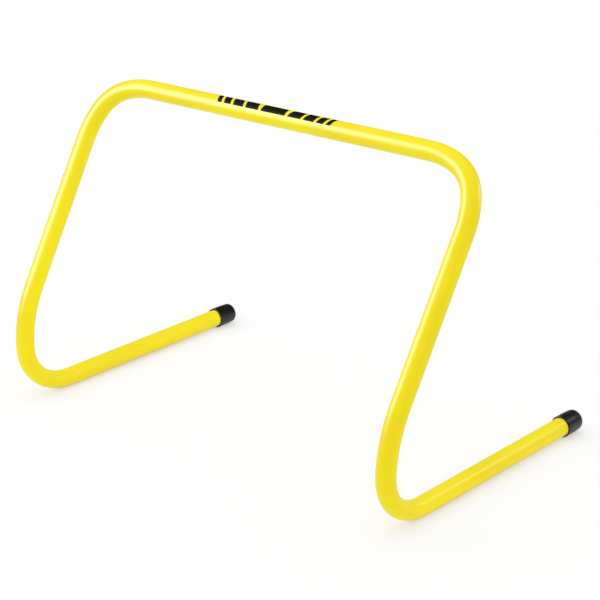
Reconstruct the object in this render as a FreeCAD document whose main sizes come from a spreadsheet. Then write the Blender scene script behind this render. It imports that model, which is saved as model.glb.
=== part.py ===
import FreeCAD, Part
import math
import os
import Sketcher
from enum import IntEnum
from FreeCAD import Placement, Rotation, Vector

# A speed hurdle: one tube bent four times, with a slip-on cap on the end of each foot.
#
# The tube is drawn in its own frame. The X axis runs through the two lower corners, where the axes of
# a foot and its upright would meet if the tube were not bent round. The feet run along +Y, and the
# uprights lean back over them to the crossbar. The caps are thicker than the tube, so the standing
# hurdle tips forward a little, on to its lower bends, and every piece takes that same placement.
# Placed, the floor is Z = 0 and the origin is under the middle of the hurdle.

# Driving dimensions, in millimetres and degrees
DRIVING = (
    ("hurdle_height", 300.0, "floor to the top of the crossbar"),
    ("hurdle_width", 462.0, "across the outside of the upper bends"),
    ("hurdle_depth", 293.0, "front of a lower bend to the end of the cap, along the foot"),
    ("lean_angle", 31.1, "lean of the uprights, back over the feet"),
    ("draw_angle", 1.35, "how far each upright is drawn in on its way down"),
    ("tube_diameter", 17.5, "outside of the tube"),
    ("tube_wall", 2.3, "wall of the tube"),
    ("upper_level_radius", 80.0, "end of an upper bend next to the crossbar, on the tube's axis"),
    ("upper_tight_radius", 41.0, "middle of an upper bend"),
    ("upper_upright_radius", 80.0, "end of an upper bend next to the upright"),
    ("lower_level_radius", 60.0, "end of a lower bend next to the foot, on the tube's axis"),
    ("lower_tight_radius", 44.0, "middle of a lower bend"),
    ("lower_upright_radius", 112.0, "end of a lower bend next to the upright"),
    ("soft_share", 0.25, "share of a bend's turn in each of its soft ends"),
    ("cap_length", 24.0, "lip to closed end"),
    ("cap_wall", 1.4, "wall of the cap"),
    ("cap_end_wall", 2.0, "closed end of the cap"),
    ("cap_clearance", 0.05, "between the tube and the bore of the cap"),
    ("cap_grip_length", 13.0, "straight stretch of the cap's outside, from the lip"),
    ("cap_taper", 0.4, "what the cap's radius loses from there to the closed end"),
    ("cap_end_round", 3.0, "rounding of the closed end"),
    ("cap_lip_round", 0.5, "rounding of the lip"),
)

# Radii of the tube and the cap, and the upright's slant as it shows in the planes of the two bends
SECTION_FORMULAS = (
    ("tube_radius", "=tube_diameter / 2"),
    ("bore_radius", "=tube_radius - tube_wall"),
    ("cap_bore_radius", "=tube_radius + cap_clearance"),
    ("cap_radius", "=cap_bore_radius + cap_wall"),
    ("cap_end_radius", "=cap_radius - cap_taper"),
    ("upper_slant", "=atan(cos(lean_angle) * tan(draw_angle)) / 1 deg"),
    ("lower_slant", "=atan(cos(draw_angle) * tan(lean_angle)) / 1 deg"),
)

# One bend, from its level end to its upright end: its turns, how far it goes along the level run and
# away from it, the lengths from its ends to the corner that it replaces, the turn at which it reaches
# furthest, and that reach past its level end
BEND_FORMULAS = (
    ("{0}_turn", "=90 + {0}_slant"),
    ("{0}_soft_turn", "=soft_share * {0}_turn"),
    ("{0}_late_turn", "={0}_turn - {0}_soft_turn"),
    ("{0}_tight_turn", "={0}_late_turn - {0}_soft_turn"),
    (
        "{0}_along",
        "={0}_level_radius * sin({0}_soft_turn)"
        " + {0}_tight_radius * (sin({0}_late_turn) - sin({0}_soft_turn))"
        " + {0}_upright_radius * (sin({0}_turn) - sin({0}_late_turn))",
    ),
    (
        "{0}_across",
        "={0}_level_radius * (1 - cos({0}_soft_turn))"
        " + {0}_tight_radius * (cos({0}_soft_turn) - cos({0}_late_turn))"
        " + {0}_upright_radius * (cos({0}_late_turn) - cos({0}_turn))",
    ),
    ("{0}_upright_tangent", "={0}_across / sin({0}_turn)"),
    ("{0}_level_tangent", "={0}_along - {0}_upright_tangent * cos({0}_turn)"),
    ("{0}_crest_turn", "=min(90; {0}_late_turn)"),
    (
        "{0}_reach",
        "={0}_level_radius * sin({0}_soft_turn)"
        " + {0}_tight_radius * (sin({0}_crest_turn) - sin({0}_soft_turn))"
        " + {0}_upright_radius * (1 - sin({0}_crest_turn))",
    ),
)

# Places along a foot, from the lower corner, then the hurdle's stand on its lower bends and cap lips
STAND_FORMULAS = (
    ("front_place", "=lower_level_tangent - lower_reach - tube_radius"),
    (
        "front_rise",
        "=lower_level_radius * (1 - cos(lower_soft_turn))"
        " + lower_tight_radius * (cos(lower_soft_turn) - cos(lower_crest_turn))"
        " + lower_upright_radius * cos(lower_crest_turn)",
    ),
    ("cap_end_place", "=front_place + hurdle_depth"),
    ("tube_end_place", "=cap_end_place - cap_end_wall"),
    ("cap_lip_place", "=cap_end_place - cap_length"),
    ("cap_grip_place", "=cap_lip_place + cap_grip_length"),
    ("cap_rest_place", "=cap_lip_place + cap_lip_round"),
    (
        "stand_angle",
        "=atan((cap_radius - tube_radius) / (cap_rest_place - lower_level_tangent)) / 1 deg",
    ),
    ("stand_lift", "=cap_radius * cos(stand_angle) - cap_rest_place * sin(stand_angle)"),
    (
        "stand_shift",
        "=(front_rise * sin(stand_angle) - (front_place + cap_end_place) * cos(stand_angle)) / 2",
    ),
)

# The crossbar's axis over the lower corners, the two corners of an upright, and the middle of its
# straight stretch, where the path in the leaning plane hands over to the path in the leg's plane
FRAME_FORMULAS = (
    (
        "crossbar_rise",
        "=(hurdle_height - tube_radius - stand_lift)"
        " / (cos(stand_angle) + tan(lean_angle) * sin(stand_angle))",
    ),
    ("crossbar_back", "=crossbar_rise * tan(lean_angle)"),
    ("crossbar_slope", "=crossbar_rise / cos(lean_angle)"),
    ("corner_place", "=hurdle_width / 2 - tube_radius + upper_level_tangent - upper_reach"),
    ("foot_place", "=corner_place - crossbar_rise * tan(draw_angle)"),
    ("upright_length", "=crossbar_rise * sqrt(1 + tan(lean_angle)^2 + tan(draw_angle)^2)"),
    (
        "middle_share",
        "=(lower_upright_tangent + upright_length - upper_upright_tangent) / (2 * upright_length)",
    ),
    ("middle_slope", "=crossbar_slope * middle_share"),
    ("middle_place", "=foot_place + middle_slope * tan(upper_slant)"),
    ("middle_rise", "=crossbar_rise / cos(draw_angle) * middle_share"),
    ("middle_back", "=crossbar_back * middle_share"),
)


class At(IntEnum):
    """Points of a line, an arc or a circle, as a sketch's constraints number them."""

    START = 1
    END = 2
    CENTRE = 3


class Own(IntEnum):
    """The axes that every sketch has, as its constraints number them."""

    X_AXIS = -1
    Y_AXIS = -2


# A sketch's origin
ROOT = (Own.X_AXIS, At.START)


def fill_sheet(doc):
    """The spreadsheet of sizes: the driving ones as plain numbers, the others as formulas."""
    sheet = doc.addObject("Spreadsheet::Sheet", "sizes")
    rows = [(alias, str(value), note) for alias, value, note in DRIVING]
    rows += [(alias, formula, "") for alias, formula in SECTION_FORMULAS]
    for bend in ("upper", "lower"):
        rows += [(alias.format(bend), formula.format(bend), "") for alias, formula in BEND_FORMULAS]
    rows += [(alias, formula, "") for alias, formula in STAND_FORMULAS + FRAME_FORMULAS]
    for number, (alias, content, note) in enumerate(rows, start=1):
        sheet.set(f"A{number}", alias)
        sheet.set(f"B{number}", content)
        sheet.set(f"C{number}", note)
        sheet.setAlias(f"B{number}", alias)
    doc.recompute()
    return sheet


def bind(item, prop, formula):
    """Ties a property to a cell of the sheet, or to a formula that begins with its name."""
    item.setExpression(prop, f"sizes.{formula}")


def new_sketch(body, name, plane, offset=Placement()):
    """A sketch on one of the body's own origin planes."""
    sketch = body.newObject("Sketcher::SketchObject", name)
    support = next(item for item in body.Origin.OriginFeatures if item.Role == plane)
    sketch.AttachmentSupport = (support, [""])
    sketch.MapMode = "FlatFace"
    sketch.AttachmentOffset = offset
    return sketch


def relate(sketch, kind, *places):
    """A constraint without a size."""
    sketch.addConstraint(Sketcher.Constraint(kind, *places))


def dimension(sketch, sheet, kind, alias, *places):
    """A constraint whose size is a cell of the sheet."""
    value = sheet.get(alias)
    if kind == "Angle":
        value = math.radians(value)
    index = sketch.addConstraint(Sketcher.Constraint(kind, *places, value))
    bind(sketch, f"Constraints[{index}]", alias)


def step(angle, length):
    """A step in a sketch, at an angle in degrees from its X axis."""
    return Rotation(Vector(0, 0, 1), angle).multVec(Vector(length, 0, 0))


def draw_bent_run(sketch, sheet, bend, start, corner, heading, finish):
    """The tube's axis round one corner: a level run, three tangent arcs that turn clockwise, an upright.

    Returns the numbers of the two straight runs.
    """
    point = corner - step(heading, sheet.get(f"{bend}_level_tangent"))
    first = sketch.addGeometry(Part.LineSegment(start, point))
    before, leaving = first, At.END
    for stretch, share in (("level", "soft"), ("tight", "tight"), ("upright", "soft")):
        radius = sheet.get(f"{bend}_{stretch}_radius")
        turn = sheet.get(f"{bend}_{share}_turn")
        centre = point + step(heading - 90, radius)
        circle = Part.Circle(centre, Vector(0, 0, 1), radius)
        span = (math.radians(heading + 90 - turn), math.radians(heading + 90))
        arc = sketch.addGeometry(Part.ArcOfCircle(circle, *span))
        heading -= turn
        point = centre + step(heading + 90, radius)
        # A clockwise arc is entered at its end and left at its start
        relate(sketch, "Tangent", before, leaving, arc, At.END)
        dimension(sketch, sheet, "Radius", f"{bend}_{stretch}_radius", arc)
        dimension(sketch, sheet, "Angle", f"{bend}_{share}_turn", arc)
        before, leaving = arc, At.START
    last = sketch.addGeometry(Part.LineSegment(point, finish))
    relate(sketch, "Tangent", before, leaving, last, At.START)
    return first, last


def draw_ring(sketch, sheet, centre):
    """The tube's section, as two circles about one centre. Returns the outer circle's number."""
    rings = []
    for alias in ("tube_radius", "bore_radius"):
        circle = Part.Circle(centre, Vector(0, 0, 1), sheet.get(alias))
        rings.append(sketch.addGeometry(circle))
        dimension(sketch, sheet, "Radius", alias, rings[-1])
    relate(sketch, "Coincident", rings[0], At.CENTRE, rings[1], At.CENTRE)
    return rings[0]


def draw_frame_path(body, sheet):
    """Half the crossbar, an upper bend and half an upright, in the leaning plane."""
    lean = Rotation(Vector(-1, 0, 0), sheet.get("lean_angle"))
    path = new_sketch(body, "frame_path", "XZ_Plane", Placement(Vector(), lean))
    bind(path, "AttachmentOffset.Rotation.Angle", "lean_angle")
    slope = sheet.get("crossbar_slope")
    middle = Vector(sheet.get("middle_place"), sheet.get("middle_slope"), 0)
    corner = Vector(sheet.get("corner_place"), slope, 0)
    crossbar, upright = draw_bent_run(path, sheet, "upper", Vector(0, slope, 0), corner, 0, middle)
    relate(path, "Horizontal", crossbar)
    relate(path, "PointOnObject", crossbar, At.START, Own.Y_AXIS)
    dimension(path, sheet, "DistanceY", "crossbar_slope", *ROOT, crossbar, At.START)
    dimension(path, sheet, "DistanceX", "middle_place", *ROOT, upright, At.END)
    dimension(path, sheet, "DistanceY", "middle_slope", *ROOT, upright, At.END)
    return path


def draw_leg_path(body, sheet):
    """A foot, a lower bend and the other half of the upright, in a plane through the foot."""
    place = Vector(0, 0, sheet.get("foot_place"))
    draw = Rotation(Vector(1, 0, 0), sheet.get("draw_angle"))
    path = new_sketch(body, "leg_path", "YZ_Plane", Placement(place, draw))
    bind(path, "AttachmentOffset.Base.z", "foot_place")
    bind(path, "AttachmentOffset.Rotation.Angle", "draw_angle")
    end = Vector(sheet.get("tube_end_place"), 0, 0)
    middle = Vector(sheet.get("middle_back"), sheet.get("middle_rise"), 0)
    foot, upright = draw_bent_run(path, sheet, "lower", end, Vector(), 180, middle)
    relate(path, "Horizontal", foot)
    relate(path, "PointOnObject", foot, At.START, Own.X_AXIS)
    dimension(path, sheet, "DistanceX", "tube_end_place", *ROOT, foot, At.START)
    dimension(path, sheet, "DistanceX", "middle_back", *ROOT, upright, At.END)
    dimension(path, sheet, "DistanceY", "middle_rise", *ROOT, upright, At.END)
    return path


def sweep(body, name, section, path):
    """A length of tube: the section along the path."""
    pipe = body.newObject("PartDesign::AdditivePipe", name)
    pipe.Profile = section
    pipe.Spine = path
    return pipe


def stand(body, sheet, side=0):
    """Stands a piece on the floor, on the hurdle's middle plane or on its right (1) or left (-1) foot."""
    place = Vector(side * sheet.get("foot_place"), sheet.get("stand_shift"), sheet.get("stand_lift"))
    body.Placement = Placement(place, Rotation(Vector(1, 0, 0), sheet.get("stand_angle")))
    if side:
        bind(body, "Placement.Base.x", f"foot_place * {side}")
    bind(body, "Placement.Base.y", "stand_shift")
    bind(body, "Placement.Base.z", "stand_lift")
    bind(body, "Placement.Rotation.Angle", "stand_angle")


def build_tube(doc, sheet):
    """The tube: its right half in two sweeps, and the mirror image of both."""
    body = doc.addObject("PartDesign::Body", "bent_tube")

    frame_section = new_sketch(body, "frame_section", "YZ_Plane")
    centre = Vector(sheet.get("crossbar_back"), sheet.get("crossbar_rise"), 0)
    ring = draw_ring(frame_section, sheet, centre)
    dimension(frame_section, sheet, "DistanceX", "crossbar_back", *ROOT, ring, At.CENTRE)
    dimension(frame_section, sheet, "DistanceY", "crossbar_rise", *ROOT, ring, At.CENTRE)
    frame = sweep(body, "frame_half", frame_section, draw_frame_path(body, sheet))
    doc.recompute()

    # The XZ plane faces the front, so a place along the foot is a negative offset from it
    foot_end = Placement(Vector(0, 0, -sheet.get("tube_end_place")), Rotation())
    leg_section = new_sketch(body, "leg_section", "XZ_Plane", foot_end)
    bind(leg_section, "AttachmentOffset.Base.z", "tube_end_place * -1")
    ring = draw_ring(leg_section, sheet, Vector(sheet.get("foot_place"), 0, 0))
    dimension(leg_section, sheet, "DistanceX", "foot_place", *ROOT, ring, At.CENTRE)
    relate(leg_section, "PointOnObject", ring, At.CENTRE, Own.X_AXIS)
    leg = sweep(body, "leg", leg_section, draw_leg_path(body, sheet))
    doc.recompute()

    halves = body.newObject("PartDesign::Mirrored", "both_halves")
    halves.Originals = [frame, leg]
    middle_plane = next(item for item in body.Origin.OriginFeatures if item.Role == "YZ_Plane")
    halves.MirrorPlane = (middle_plane, [""])
    body.Tip = halves
    stand(body, sheet)
    return body


def build_cap(doc, sheet, name, side):
    """A soft cap: a cup turned about the foot's axis, bottomed on the end of the tube."""
    body = doc.addObject("PartDesign::Body", name)
    sketch = new_sketch(body, f"{name}_section", "YZ_Plane")
    end, seat = sheet.get("cap_end_place"), sheet.get("tube_end_place")
    lip, grip = sheet.get("cap_lip_place"), sheet.get("cap_grip_place")
    bore, outside = sheet.get("cap_bore_radius"), sheet.get("cap_radius")
    lip_round, end_round = sheet.get("cap_lip_round"), sheet.get("cap_end_round")
    end_radius = sheet.get("cap_end_radius")

    def line(*ends):
        first, last = (Vector(*point, 0) for point in ends)
        return sketch.addGeometry(Part.LineSegment(first, last))

    def quarter(centre, radius, low, high):
        circle = Part.Circle(Vector(*centre, 0), Vector(0, 0, 1), radius)
        return sketch.addGeometry(Part.ArcOfCircle(circle, math.radians(low), math.radians(high)))

    floor = line((seat, 0), (seat, bore))
    wall = line((seat, bore), (lip, bore))
    lip_face = line((lip, bore), (lip, outside - lip_round))
    lip_arc = quarter((lip + lip_round, outside - lip_round), lip_round, 90, 180)
    grip_line = line((lip + lip_round, outside), (grip, outside))
    taper = line((grip, outside), (end - end_round, end_radius))
    end_arc = quarter((end - end_round, end_radius - end_round), end_round, 0, 90)
    end_face = line((end, end_radius - end_round), (end, 0))
    axis = line((end, 0), (seat, 0))

    for upright in (floor, lip_face, end_face):
        relate(sketch, "Vertical", upright)
    for level in (wall, grip_line):
        relate(sketch, "Horizontal", level)
    corners = ((floor, wall), (wall, lip_face), (grip_line, taper), (end_face, axis), (axis, floor))
    for before, after in corners:
        relate(sketch, "Coincident", before, At.END, after, At.START)
    # Both arcs run clockwise along the section, so each is entered at its end
    for before, arc, after in ((lip_face, lip_arc, grip_line), (taper, end_arc, end_face)):
        relate(sketch, "Tangent", before, At.END, arc, At.END)
        relate(sketch, "Tangent", arc, At.START, after, At.START)
    for point in (At.START, At.END):
        relate(sketch, "PointOnObject", axis, point, Own.X_AXIS)
    dimension(sketch, sheet, "Radius", "cap_lip_round", lip_arc)
    dimension(sketch, sheet, "Radius", "cap_end_round", end_arc)
    dimension(sketch, sheet, "DistanceX", "cap_end_place", *ROOT, axis, At.START)
    dimension(sketch, sheet, "DistanceX", "tube_end_place", *ROOT, axis, At.END)
    dimension(sketch, sheet, "DistanceX", "cap_lip_place", *ROOT, wall, At.END)
    dimension(sketch, sheet, "DistanceX", "cap_grip_place", *ROOT, grip_line, At.END)
    dimension(sketch, sheet, "DistanceY", "cap_bore_radius", *ROOT, wall, At.END)
    dimension(sketch, sheet, "DistanceY", "cap_radius", *ROOT, grip_line, At.END)
    dimension(sketch, sheet, "DistanceY", "cap_end_radius", *ROOT, taper, At.END)

    cup = body.newObject("PartDesign::Revolution", f"{name}_cup")
    cup.Profile = sketch
    cup.ReferenceAxis = (sketch, ["H_Axis"])
    stand(body, sheet, side)
    return body


def check(doc, bodies):
    """Stops on a failed object, a loose sketch, or a piece that is not one sound solid."""
    for item in doc.Objects:
        if "Invalid" in item.State or "Error" in item.State:
            raise RuntimeError(f"{item.Name} failed: {item.State}")
        if item.TypeId == "Sketcher::SketchObject" and item.solve() != 0:
            raise RuntimeError(f"the sketch {item.Name} has no solution")
    for body in bodies:
        shape = body.Shape
        if shape.isNull() or not shape.isValid() or len(shape.Solids) != 1:
            raise RuntimeError(f"{body.Label} is not one sound solid")


def main():
    doc = FreeCAD.newDocument("speed_hurdle")
    sheet = fill_sheet(doc)
    bodies = [build_tube(doc, sheet)]
    bodies.append(build_cap(doc, sheet, "left_end_cap", -1))
    bodies.append(build_cap(doc, sheet, "right_end_cap", 1))
    doc.recompute()
    check(doc, bodies)
    os.makedirs("parts", exist_ok=True)
    for body in bodies:
        body.Shape.exportStep(f"parts/{body.Label}.step")
        print(body.Label, body.Shape.optimalBoundingBox())


main()
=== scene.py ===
import bpy
import math
import numpy as np
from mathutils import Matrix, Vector


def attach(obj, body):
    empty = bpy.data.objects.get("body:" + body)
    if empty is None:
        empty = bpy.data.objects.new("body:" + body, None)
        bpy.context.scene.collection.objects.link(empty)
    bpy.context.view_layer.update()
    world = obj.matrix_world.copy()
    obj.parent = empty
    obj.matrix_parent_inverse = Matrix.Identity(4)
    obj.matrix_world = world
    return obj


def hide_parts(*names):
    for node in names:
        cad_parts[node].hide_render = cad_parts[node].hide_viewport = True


# The looks of a speed hurdle: a yellow tube bent from one length, two black caps and a black print.
# Lengths are in metres. The tube's route is read from the frame, so it needs no sizes of its own.

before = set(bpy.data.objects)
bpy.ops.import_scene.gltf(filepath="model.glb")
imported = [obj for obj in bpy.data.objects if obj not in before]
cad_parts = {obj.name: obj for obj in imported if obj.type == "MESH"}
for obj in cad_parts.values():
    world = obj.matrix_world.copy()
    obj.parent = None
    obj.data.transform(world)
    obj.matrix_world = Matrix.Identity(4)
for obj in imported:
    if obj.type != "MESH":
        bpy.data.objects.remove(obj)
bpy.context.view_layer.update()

# Radii of the tube and its bore, as the frame has them
TUBE_RADIUS = 0.00875
BORE_RADIUS = 0.00645

# Fineness of the tube's skin: sides round it, and the longest step along it
TUBE_SIDES = 72
TUBE_STEP = 0.004

# Vertices of the outer skin, taken back to the axis, share a cell of this size, this many or more to each
RING_CELL = 0.0005
RING_LEAST = 4
# Points of the axis nearer than this belong to one ring
RING_REACH = 0.002

# How much flatter the tube is in its tightest bend, how tight that is, and what counts as straight
BEND_FLATTENING = 0.015
TIGHTEST_BEND = 0.041
LEAST_CURVE = 1e-9

# The print: slanted bars that narrow on both sides of a plain middle bar
PRINT_CENTRE = -0.005
PRINT_MIDDLE = 0.028
PRINT_BARS = (0.015, 0.012, 0.008, 0.005)
PRINT_GAP = 0.003
PRINT_SLANT = 0.35
# Where it lies round the crossbar, measured up from the front
PRINT_LOW, PRINT_HIGH = math.radians(36), math.radians(98)
# How far the film stands above the tube's skin and reaches below it, and how finely it is divided
PRINT_LIFT = 0.00004
PRINT_SUNK = 0.00002
PRINT_ROWS = 24
PRINT_COLUMNS = 6

# Colours, as linear light
YELLOW_CLEAR = (0.93, 0.79, 0.002, 1)
YELLOW_DEEP = (0.88, 0.71, 0.001, 1)
YELLOW_WORN = (0.80, 0.70, 0.12, 1)
BLACK_VINYL = (0.005, 0.005, 0.0055, 1)
BLACK_DUSTY = (0.020, 0.019, 0.018, 1)
BLACK_INK = (0.002, 0.002, 0.0023, 1)
WHITE = (1, 1, 1, 1)

# Grain of each noise, in grains to the metre. On the tube the first is along it.
DRAWN_LINES = (4, 900, 900)
TONE_CLOUDS = (14, 60, 60)
FAINT_PEEL = (900, 900, 900)
SCRATCHES = (120, 1500, 500)
RUB_PATCHES = (70, 160, 160)
VINYL_GRAIN = (1400, 1400, 1400)
VINYL_FLOW = (120, 40, 120)
INK_SPECKS = (1800, 1800, 1800)
INK_SHEEN = (60, 400, 400)
# Detail of a noise: plain, fine and coarse
PLAIN, FINE, COARSE = 2, 3, 1

# The part of a noise's range that each use of it takes
MIDDLE = (0.3, 0.7)
WIDE = (0.2, 0.8)
LINE_MARKS = (0.62, 0.9)
SCRATCH_MARKS = (0.68, 0.8)
RUB_MARKS = (0.45, 0.75)
DUST_MARKS = (0.4, 0.7)
PINHOLES = (0.76, 0.80)

# How much each mark changes the colour, the roughness or the relief
LINE_TINT = 0.35
WORN_TINT = 0.6
DUST_TINT = 0.5
WORN_DULLNESS = 0.25
PEEL_RELIEF = 0.4
SCRATCH_RELIEF = -0.6
GRAIN_RELIEF = 0.5

# Heights above the floor up to which the tube rubs and the caps gather dust
RUB_HEIGHT = 0.012
DUST_HEIGHT = 0.008

# Least and most roughness, level of reflection (0.5 is usual for plastic), and the bump's strength and depth
TUBE_ROUGHNESS, TUBE_REFLECTION, TUBE_BUMP = (0.34, 0.42), 0.25, (0.12, 0.0001)
CAP_ROUGHNESS, CAP_REFLECTION, CAP_BUMP = (0.33, 0.41), 0.4, (0.14, 0.0001)
INK_ROUGHNESS, INK_REFLECTION, INK_BUMP = (0.60, 0.72), 0.1, (0.15, 0.00005)

# The camera, at the photograph's place
CAMERA_PLACE = (1.05013, -1.21139, 0.70238)
CAMERA_PITCH = math.radians(90 - 20.080)
CAMERA_YAW = math.radians(40.708)
CAMERA_LENS = 111.259
SENSOR_WIDTH = 36.0

# The even light, and the brightness of the ceiling where gloss reflects it
AMBIENT = 0.99
CEILING = 0.10
# What gloss reflects goes from the white backdrop to the ceiling between these sines of the elevation
BACKDROP_TOP, CEILING_EDGE = 0.0, 0.14

# Softboxes: name, place, width, height, watts, whether they light things, and whether they show in gloss
SOFTBOXES = (
    ("key_softbox", (-0.68, -0.62, 0.72), 0.95, 0.80, 1.1, True, True),
    ("top_softbox", (0, 0, 1.5), 1.0, 1.0, 2.4, True, False),
    ("key_sheen", (-0.611, -0.630, 0.625), 0.46, 0.62, 22, False, True),
    ("back_sheen", (0.480, 0.456, 0.375), 0.06, 0.165, 0.9, False, True),
)
# The point they face
AIM = Vector((0, -0.02, 0.15))

# The floor's half width
FLOOR_HALF = 12.0
# Its colour, the colour with which it lights the object from further off, and where one becomes the other
FLOOR_WHITE = (0.90, 0.90, 0.90, 1)
FLOOR_FAR = (0.72, 0.72, 0.72, 1)
FLOOR_LIT, FLOOR_UNLIT = 0.25, 0.8
# The share of plain white in the floor as it is seen: close by, and the distances over which it becomes all
FLOOR_NEAR_GLOW = 0.5
FLOOR_FADE_START, FLOOR_FADE_END = 0.55, 1.3


def column(items, name, width):
    """A property of many mesh items as an array, one row for each."""
    values = np.empty(len(items) * width, np.float32)
    items.foreach_get(name, values)
    return values.reshape(len(items), width).astype(float)


def read_axis(node):
    """Points of the tube's axis, and its heading there, from the left foot's end to the right's.

    The outer skin lies one radius from the axis, so its vertices, taken back along their normals,
    meet on the axis ring by ring. Those of the bore and of the cut ends do not meet.
    """
    mesh = node.data
    skin = column(mesh.vertices, "co", 3)
    owner = np.empty(len(mesh.loops), np.int32)
    mesh.loops.foreach_get("vertex_index", owner)
    normals = np.empty_like(skin)
    normals[owner] = column(mesh.corner_normals, "vector", 3)
    centres = skin - TUBE_RADIUS * normals
    cells = np.round(centres / RING_CELL)
    _, cell, count = np.unique(cells, axis=0, return_inverse=True, return_counts=True)
    outer = count[cell.ravel()] >= RING_LEAST
    skin, centres = skin[outer], centres[outer]

    points, headings = [], []
    at = centres[np.argmax(centres[:, 1] - centres[:, 0])]
    while len(centres):
        gap = np.linalg.norm(centres - at, axis=1)
        ring = gap < RING_REACH
        centre = centres[ring].mean(0)
        heading = np.linalg.svd(skin[ring] - centre, full_matrices=False)[2][2]
        points.append(centre)
        headings.append(heading)
        skin, centres = skin[~ring], centres[~ring]
        if len(centres):
            at = centres[np.argmin(np.linalg.norm(centres - centre, axis=1))]
    points, headings = np.array(points), np.array(headings)
    ahead = np.gradient(points, axis=0)
    headings *= np.sign((headings * ahead).sum(1))[:, None]
    return points, headings


def fill_axis(points, headings):
    """The axis at short steps: a smooth curve through each two rings, along their headings."""
    line = []
    for start, end, leave, arrive in zip(points, points[1:], headings, headings[1:]):
        gap = np.linalg.norm(end - start)
        share = np.linspace(0, 1, math.ceil(gap / TUBE_STEP), endpoint=False)[:, None]
        rest = 1 - share
        pull = gap * share * rest
        line.append((1 + 2 * share) * rest**2 * start + share**2 * (1 + 2 * rest) * end)
        line[-1] += pull * (rest * leave - share * arrive)
    return np.concatenate([*line, points[-1:]])


def carry_frames(line):
    """The heading at each point of a line, and a side direction that never twists about it."""
    heading = np.gradient(line, axis=0)
    heading /= np.linalg.norm(heading, axis=1)[:, None]
    side = np.empty_like(line)
    last = np.array((0, 0, 1.0))
    for number, ahead in enumerate(heading):
        last = last - (last @ ahead) * ahead
        last /= np.linalg.norm(last)
        side[number] = last
    return heading, side


def mesh_piece(name, vertices, faces, material, smooth=0):
    """A new mesh object with one material. Its first faces, up to the number given, are smooth."""
    mesh = bpy.data.meshes.new(name)
    mesh.from_pydata([tuple(v) for v in vertices], [], faces)
    mesh.materials.append(material)
    mesh.polygons.foreach_set("use_smooth", [number < smooth for number in range(len(mesh.polygons))])
    mesh.update()
    piece = bpy.data.objects.new(name, mesh)
    bpy.context.scene.collection.objects.link(piece)
    return piece


def ring_faces(rings, sides, start, flip):
    """Faces between rings of vertices, wound one way or the other."""
    faces = []
    for ring in range(rings - 1):
        for side in range(sides):
            a = start + ring * sides + side
            b = start + ring * sides + (side + 1) % sides
            face = (a, b, b + sides, a + sides)
            faces.append(face[::-1] if flip else face)
    return faces


def build_tube(material):
    """The tube with its bore, swept along the axis, a little flattened in its bends. Returns the axis."""
    line = fill_axis(*read_axis(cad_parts["bent_tube"]))
    heading, side = carry_frames(line)
    other = np.cross(heading, side)
    along = np.concatenate([[0], np.cumsum(np.linalg.norm(np.diff(line, axis=0), axis=1))])
    curve = np.gradient(heading, along, axis=0)
    tightness = np.linalg.norm(curve, axis=1)
    inward = curve / np.maximum(tightness, LEAST_CURVE)[:, None]
    flat = BEND_FLATTENING * np.clip(tightness * TIGHTEST_BEND, 0, 1)
    turn = np.linspace(0, 2 * math.pi, TUBE_SIDES, endpoint=False)
    out = side[:, None] * np.cos(turn)[:, None] + other[:, None] * np.sin(turn)[:, None]
    facing = (out * inward[:, None]).sum(2)
    squash = 1 - flat[:, None] * facing**2

    # Each vertex, and its place on the tube before bending, for the grain that runs along it
    vertices, unbent = [], []
    for radius in (TUBE_RADIUS, BORE_RADIUS):
        vertices.append((line[:, None] + radius * squash[..., None] * out).reshape(-1, 3))
        ring = np.stack([np.zeros_like(turn), radius * np.cos(turn), radius * np.sin(turn)], 1)
        straight = ring[None] + along[:, None, None] * np.array((1.0, 0, 0))
        unbent.append(straight.reshape(-1, 3))

    # The skin, the bore and the cut faces at both ends
    rings, bore = len(line), len(line) * TUBE_SIDES
    faces = ring_faces(rings, TUBE_SIDES, 0, True) + ring_faces(rings, TUBE_SIDES, bore, False)
    last, smooth = bore - TUBE_SIDES, len(faces)
    for number in range(TUBE_SIDES):
        after = (number + 1) % TUBE_SIDES
        faces.append((number, after, bore + after, bore + number))
        faces.append((last + after, last + number, bore + last + number, bore + last + after))

    tube = mesh_piece("tube_skin", np.concatenate(vertices), faces, material, smooth)
    straight = tube.data.attributes.new("unbent", "FLOAT_VECTOR", "POINT")
    straight.data.foreach_set("vector", np.concatenate(unbent).astype(np.float32).ravel())
    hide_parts("bent_tube")
    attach(tube, "root")
    return line


def print_bars():
    """The print's bars as pairs of ends along the crossbar, each with the way it slants."""
    bars = [(-PRINT_MIDDLE / 2, PRINT_MIDDLE / 2, 0)]
    place = PRINT_MIDDLE / 2
    for width in PRINT_BARS:
        start = place + PRINT_GAP
        place = start + width
        bars += [(start, place, 1), (-place, -start, -1)]
    return bars


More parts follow.
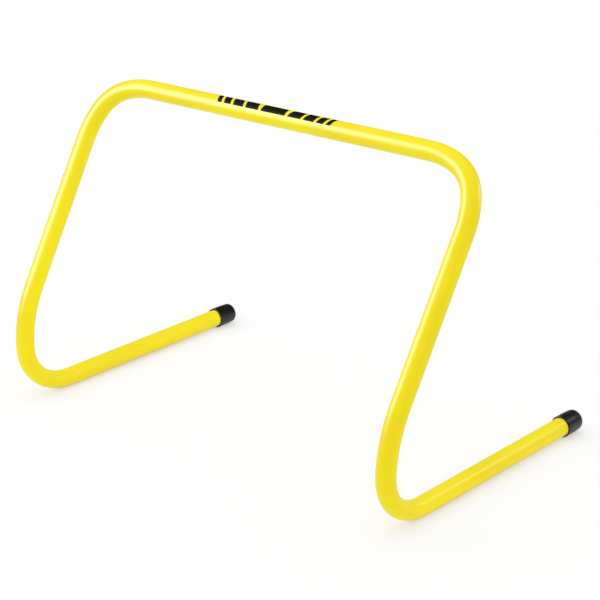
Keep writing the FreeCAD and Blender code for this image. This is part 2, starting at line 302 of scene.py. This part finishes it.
def build_print(line, material):
    """A thin film of ink on the crossbar: curved bars with a top, an underside and edges."""
    crossbar = line[np.argmin(np.abs(line[:, 0]))]
    vertices, faces = [], []
    for start, end, slant in print_bars():
        first = len(vertices)
        for radius in (TUBE_RADIUS + PRINT_LIFT, TUBE_RADIUS - PRINT_SUNK):
            for turn in np.linspace(PRINT_LOW, PRINT_HIGH, PRINT_ROWS):
                shift = slant * PRINT_SLANT * TUBE_RADIUS * (turn - PRINT_LOW)
                for place in np.linspace(start, end, PRINT_COLUMNS):
                    y = crossbar[1] - radius * math.cos(turn)
                    z = crossbar[2] + radius * math.sin(turn)
                    vertices.append((PRINT_CENTRE + place + shift, y, z))
        under = PRINT_ROWS * PRINT_COLUMNS
        grid = first + np.arange(under).reshape(PRINT_ROWS, PRINT_COLUMNS)
        for row, above in zip(grid, grid[1:]):
            for a, b, c, d in zip(row, row[1:], above[1:], above):
                faces.append((a, b, c, d))
                faces.append((d + under, c + under, b + under, a + under))
        rim = [*grid[0], *grid[1:, -1], *grid[-1, -2::-1], *grid[-2:0:-1, 0]]
        for a, b in zip(rim, rim[1:] + rim[:1]):
            faces.append((b, a, a + under, b + under))
    film = mesh_piece("crossbar_print", vertices, [tuple(map(int, f)) for f in faces], material)
    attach(film, "root")


def new_material(name):
    """A material with only its surface shader. Returns it, its node tree and that shader."""
    material = bpy.data.materials.new(name)
    material.use_nodes = True
    tree = material.node_tree
    return material, tree, tree.nodes["Principled BSDF"]


def plug(tree, value, socket):
    """Links an output to a socket, or sets the socket to a plain value."""
    if isinstance(value, bpy.types.NodeSocket):
        tree.links.new(value, socket)
    else:
        socket.default_value = value


def add(tree, kind, inputs, **settings):
    """A node with its settings and its inputs."""
    node = tree.nodes.new(kind)
    for name, value in settings.items():
        setattr(node, name, value)
    for name, value in inputs.items():
        plug(tree, value, node.inputs[name])
    return node


def object_place(tree):
    """The place of a point in the object's own coordinates."""
    return add(tree, "ShaderNodeTexCoord", {}).outputs["Object"]


def height_of(tree, vector):
    """How high a place or a direction lies."""
    return add(tree, "ShaderNodeSeparateXYZ", {"Vector": vector}).outputs["Z"]


def noise(tree, vector, stretch, detail=PLAIN):
    """Noise whose grain is stretched: how many grains to the metre, each way."""
    scaled = add(tree, "ShaderNodeVectorMath", {0: vector, 1: stretch}, operation="MULTIPLY")
    texture = add(tree, "ShaderNodeTexNoise", {"Vector": scaled.outputs[0], "Scale": 1.0, "Detail": detail})
    return texture.outputs["Fac"]


def spread(tree, value, low, high, to_low=0.0, to_high=1.0):
    """A value's range, stretched over another range and held inside it."""
    limits = {"From Min": low, "From Max": high, "To Min": to_low, "To Max": to_high}
    return add(tree, "ShaderNodeMapRange", {"Value": value, **limits}).outputs["Result"]


def blend(tree, share, first, second):
    """A colour between two colours."""
    node = add(tree, "ShaderNodeMix", {}, data_type="RGBA")
    sockets = {socket.name: socket for socket in node.inputs if socket.enabled}
    for name, value in (("Factor", share), ("A", first), ("B", second)):
        plug(tree, value, sockets[name])
    return [socket for socket in node.outputs if socket.enabled][0]


def combine(tree, kind, *values):
    """Values through one operation."""
    return add(tree, "ShaderNodeMath", dict(enumerate(values)), operation=kind).outputs[0]


def set_surface(tree, shader, colour, roughness, reflection, relief, bump):
    """Gives a shader its colour, roughness, level of reflection and relief."""
    strength, depth = bump
    bumps = add(tree, "ShaderNodeBump", {"Height": relief, "Strength": strength, "Distance": depth})
    plug(tree, colour, shader.inputs["Base Color"])
    plug(tree, roughness, shader.inputs["Roughness"])
    plug(tree, reflection, shader.inputs["Specular IOR Level"])
    plug(tree, bumps.outputs["Normal"], shader.inputs["Normal"])


def yellow_tube():
    """Extruded PVC, half gloss: drawn lines along the tube, a faint peel, and dull spots where it rubs."""
    material, tree, shader = new_material("yellow_pvc")
    unbent = add(tree, "ShaderNodeAttribute", {}, attribute_name="unbent").outputs["Vector"]
    lines = noise(tree, unbent, DRAWN_LINES, FINE)
    cloud = noise(tree, unbent, TONE_CLOUDS)
    peel = noise(tree, unbent, FAINT_PEEL)
    scratch = noise(tree, unbent, SCRATCHES, COARSE)
    rubbed = spread(tree, height_of(tree, object_place(tree)), RUB_HEIGHT, 0.0)
    patchy = spread(tree, noise(tree, unbent, RUB_PATCHES), *RUB_MARKS)
    worn = combine(tree, "MULTIPLY", rubbed, patchy)

    tone = blend(tree, spread(tree, cloud, *MIDDLE), YELLOW_DEEP, YELLOW_CLEAR)
    drawn = blend(tree, spread(tree, lines, *LINE_MARKS, 0.0, LINE_TINT), tone, YELLOW_DEEP)
    colour = blend(tree, combine(tree, "MULTIPLY", worn, WORN_TINT), drawn, YELLOW_WORN)
    gloss = spread(tree, lines, *WIDE, *TUBE_ROUGHNESS)
    roughness = combine(tree, "MULTIPLY_ADD", worn, WORN_DULLNESS, gloss)
    skin = combine(tree, "ADD", combine(tree, "MULTIPLY", peel, PEEL_RELIEF), lines)
    relief = combine(tree, "ADD", skin, spread(tree, scratch, *SCRATCH_MARKS, 0.0, SCRATCH_RELIEF))
    set_surface(tree, shader, colour, roughness, TUBE_REFLECTION, relief, TUBE_BUMP)
    return material


def black_cap():
    """Dip-moulded vinyl, half matt, with a fine grain and a little dust near the floor."""
    material, tree, shader = new_material("black_vinyl")
    place = object_place(tree)
    grain = noise(tree, place, VINYL_GRAIN, FINE)
    flow = noise(tree, place, VINYL_FLOW)
    near_floor = spread(tree, height_of(tree, place), DUST_HEIGHT, 0.0)
    dust = combine(tree, "MULTIPLY", near_floor, spread(tree, grain, *DUST_MARKS))

    colour = blend(tree, combine(tree, "MULTIPLY", dust, DUST_TINT), BLACK_VINYL, BLACK_DUSTY)
    roughness = spread(tree, flow, *MIDDLE, *CAP_ROUGHNESS)
    relief = combine(tree, "ADD", combine(tree, "MULTIPLY", grain, GRAIN_RELIEF), flow)
    set_surface(tree, shader, colour, roughness, CAP_REFLECTION, relief, CAP_BUMP)
    return material


def black_print():
    """Screen ink: nearly black, with pinholes and a slightly uneven sheen."""
    material, tree, shader = new_material("black_ink")
    place = object_place(tree)
    specks = noise(tree, place, INK_SPECKS, COARSE)
    colour = blend(tree, spread(tree, specks, *PINHOLES), BLACK_INK, YELLOW_DEEP)
    roughness = spread(tree, noise(tree, place, INK_SHEEN), *MIDDLE, *INK_ROUGHNESS)
    set_surface(tree, shader, colour, roughness, INK_REFLECTION, specks, INK_BUMP)
    return material


def seen_directly(tree):
    """1 for rays from the camera, from gloss and through glass, 0 for the light that falls on things."""
    rays = add(tree, "ShaderNodeLightPath", {}).outputs
    both = combine(tree, "MAXIMUM", rays["Is Camera Ray"], rays["Is Glossy Ray"])
    return combine(tree, "MAXIMUM", both, rays["Is Transmission Ray"])


def build_floor():
    """A plain pale floor with the object's shadow. Further off it is seen as white, and casts less light."""
    corners = [(x * FLOOR_HALF, y * FLOOR_HALF, 0) for x, y in ((-1, -1), (1, -1), (1, 1), (-1, 1))]
    material, tree, shader = new_material("floor")
    away = add(tree, "ShaderNodeVectorMath", {0: object_place(tree)}, operation="LENGTH").outputs["Value"]
    seen = seen_directly(tree)
    unseen = combine(tree, "SUBTRACT", 1.0, seen)
    unlit = combine(tree, "MULTIPLY", spread(tree, away, FLOOR_LIT, FLOOR_UNLIT), unseen)
    plug(tree, blend(tree, unlit, FLOOR_WHITE, FLOOR_FAR), shader.inputs["Base Color"])
    plug(tree, 1.0, shader.inputs["Roughness"])
    plug(tree, 0.0, shader.inputs["Specular IOR Level"])

    glow = add(tree, "ShaderNodeEmission", {"Color": WHITE, "Strength": 1.0})
    far = spread(tree, away, FLOOR_FADE_START, FLOOR_FADE_END, FLOOR_NEAR_GLOW, 1.0)
    share = combine(tree, "MULTIPLY", far, seen)
    mix = add(tree, "ShaderNodeMixShader", {"Fac": share, 1: shader.outputs[0], 2: glow.outputs[0]})
    plug(tree, mix.outputs[0], tree.nodes["Material Output"].inputs["Surface"])
    mesh_piece("floor", corners, [(0, 1, 2, 3)], material)


def build_world():
    """Even light from all round, a white backdrop, and a ceiling that is dim where it is reflected."""
    world = bpy.data.worlds.new("studio")
    world.use_nodes = True
    bpy.context.scene.world = world
    tree = world.node_tree
    light = tree.nodes["Background"]
    plug(tree, WHITE, light.inputs["Color"])
    rise = height_of(tree, add(tree, "ShaderNodeTexCoord", {}).outputs["Generated"])
    room = spread(tree, rise, BACKDROP_TOP, CEILING_EDGE, 1.0, CEILING)
    lit = spread(tree, seen_directly(tree), 0.0, 1.0, AMBIENT, room)
    camera_ray = add(tree, "ShaderNodeLightPath", {}).outputs["Is Camera Ray"]
    plug(tree, combine(tree, "MAXIMUM", lit, camera_ray), light.inputs["Strength"])


def add_light(name, place, width, height, power, diffuse, glossy):
    """A softbox that faces the object, whose light on things or reflection in gloss can be left out."""
    lamp = bpy.data.lights.new(name, "AREA")
    lamp.shape = "RECTANGLE"
    lamp.size = width
    lamp.size_y = height
    lamp.energy = power
    light = bpy.data.objects.new(name, lamp)
    light.location = place
    light.rotation_euler = (AIM - Vector(place)).to_track_quat("-Z", "Y").to_euler()
    light.visible_camera = False
    light.visible_diffuse = diffuse
    light.visible_glossy = glossy
    bpy.context.scene.collection.objects.link(light)


def add_camera():
    """The camera, level from side to side."""
    lens = bpy.data.cameras.new("camera")
    lens.lens = CAMERA_LENS
    lens.sensor_width = SENSOR_WIDTH
    camera = bpy.data.objects.new("camera", lens)
    camera.location = CAMERA_PLACE
    camera.rotation_euler = (CAMERA_PITCH, 0, CAMERA_YAW)
    bpy.context.scene.collection.objects.link(camera)
    bpy.context.scene.camera = camera


bpy.context.scene.view_settings.view_transform = "Standard"
axis = build_tube(yellow_tube())
build_print(axis, black_print())
cap_material = black_cap()
for cap in ("left_end_cap", "right_end_cap"):
    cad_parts[cap].material_slots[0].material = cap_material
build_floor()
build_world()
for softbox in SOFTBOXES:
    add_light(*softbox)
add_camera()
